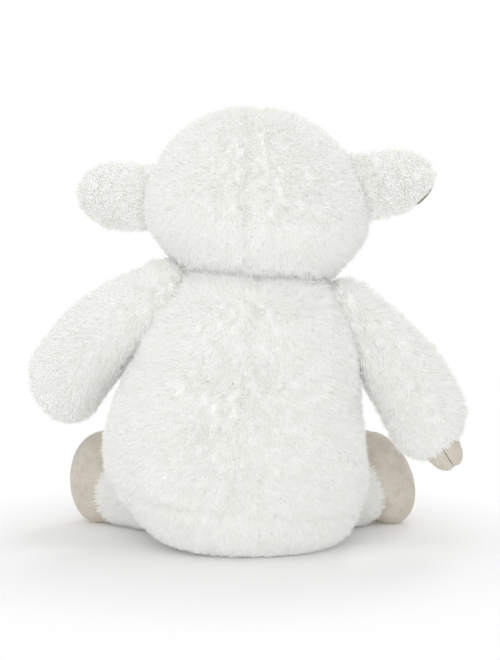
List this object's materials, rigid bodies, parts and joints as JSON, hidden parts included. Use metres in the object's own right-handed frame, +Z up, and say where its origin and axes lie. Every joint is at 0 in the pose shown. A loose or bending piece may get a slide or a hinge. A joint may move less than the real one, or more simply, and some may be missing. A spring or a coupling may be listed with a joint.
{
  "type": "plush lamb",
  "caption": "Seated stuffed lamb of white pile fabric with smooth taupe hooves, short side ears, turning head and swinging limbs.",
  "frame": {"origin": "on the floor, in the middle of the flat patch that the toy sits on", "axes": "+Z up, the toy faces -Y, its own left side is +X"},
  "size_m": [0.2998, 0.1799, 0.2946],
  "materials": {
    "white_pile": "matte short fur",
    "taupe_velour": "matte velour",
    "ear_velour": "matte velour",
    "polyester_fill": "loose fibre",
    "pouch_cotton": "plain weave",
    "pellet_plastic": "satin",
    "washer_plastic": "satin",
    "eye_plastic": "gloss",
    "brown_thread": "satin thread"
  },
  "bodies": {
    "torso": {"torso_back_left": "white_pile", "torso_back_right": "white_pile", "torso_belly": "white_pile", "torso_seat": "white_pile", "torso_fill": "polyester_fill", "bean_pouch": "pouch_cotton", "bean_pellets": "pellet_plastic"},
    "neck": {"neck_fill": "polyester_fill"},
    "head": {"head_left": "white_pile", "head_right": "white_pile", "head_fill": "polyester_fill", "muzzle": "taupe_velour", "nose": "brown_thread", "mouth": "brown_thread", "eye_left": "eye_plastic", "eye_right": "eye_plastic", "eye_washer_left": "washer_plastic", "eye_washer_right": "washer_plastic"},
    "ear_left": {"ear_left_back": "white_pile", "ear_left_lining": "ear_velour"},
    "ear_right": {"ear_right_back": "white_pile", "ear_right_lining": "ear_velour"},
    "arm_left": {"arm_left_cover": "white_pile", "arm_left_fill": "polyester_fill", "hand_left_hoof_outer": "taupe_velour", "hand_left_hoof_inner": "taupe_velour"},
    "arm_right": {"arm_right_cover": "white_pile", "arm_right_fill": "polyester_fill", "hand_right_hoof_outer": "taupe_velour", "hand_right_hoof_inner": "taupe_velour"},
    "leg_left": {"leg_left_cover": "white_pile", "leg_left_fill": "polyester_fill", "foot_left_hoof_outer": "taupe_velour", "foot_left_hoof_inner": "taupe_velour"},
    "leg_right": {"leg_right_cover": "white_pile", "leg_right_fill": "polyester_fill", "foot_right_hoof_outer": "taupe_velour", "foot_right_hoof_inner": "taupe_velour"}
  },
  "joints": [
    {"name": "head_nod", "type": "hinge", "parent": "torso", "child": "neck", "pos_m": [-0.01639, 0, 0.18678], "axis": [0.9962, 0, 0.0872], "range_deg": [-12, 12], "stiffness_Nm_per_rad": 0.6},
    {"name": "head_turn", "type": "hinge", "parent": "neck", "child": "head", "pos_m": [-0.01639, 0, 0.18678], "axis": [-0.0872, 0, 0.9962], "range_deg": [-35, 35], "stiffness_Nm_per_rad": 0.3},
    {"name": "ear_left_swing", "type": "hinge", "parent": "head", "child": "ear_left", "pos_m": [0.06245, -0.00935, 0.23573], "axis": [0.0342, -0.0106, -0.9994], "range_deg": [-40, 50], "stiffness_Nm_per_rad": 0.02},
    {"name": "ear_right_swing", "type": "hinge", "parent": "head", "child": "ear_right", "pos_m": [-0.08967, 0.00935, 0.2437], "axis": [0.1898, -0.017, 0.9817], "range_deg": [-40, 50], "stiffness_Nm_per_rad": 0.02},
    {"name": "shoulder_left", "type": "hinge", "parent": "torso", "child": "arm_left", "pos_m": [0.04623, 0, 0.17118], "axis": [-0.9962, 0, -0.0872], "range_deg": [-30, 75], "stiffness_Nm_per_rad": 0.15},
    {"name": "shoulder_right", "type": "hinge", "parent": "torso", "child": "arm_right", "pos_m": [-0.07534, 0, 0.16055], "axis": [-0.9962, 0, -0.0872], "range_deg": [-30, 75], "stiffness_Nm_per_rad": 0.15},
    {"name": "hip_left", "type": "hinge", "parent": "torso", "child": "leg_left", "pos_m": [0.05872, -0.04588, 0.0265], "axis": [-0.7193, -0.6947, 0], "range_deg": [-20, 25], "stiffness_Nm_per_rad": 0.3},
    {"name": "hip_right", "type": "hinge", "parent": "torso", "child": "leg_right", "pos_m": [-0.05872, -0.04588, 0.0265], "axis": [-0.5299, 0.848, 0], "range_deg": [-20, 25], "stiffness_Nm_per_rad": 0.3}
  ]
}
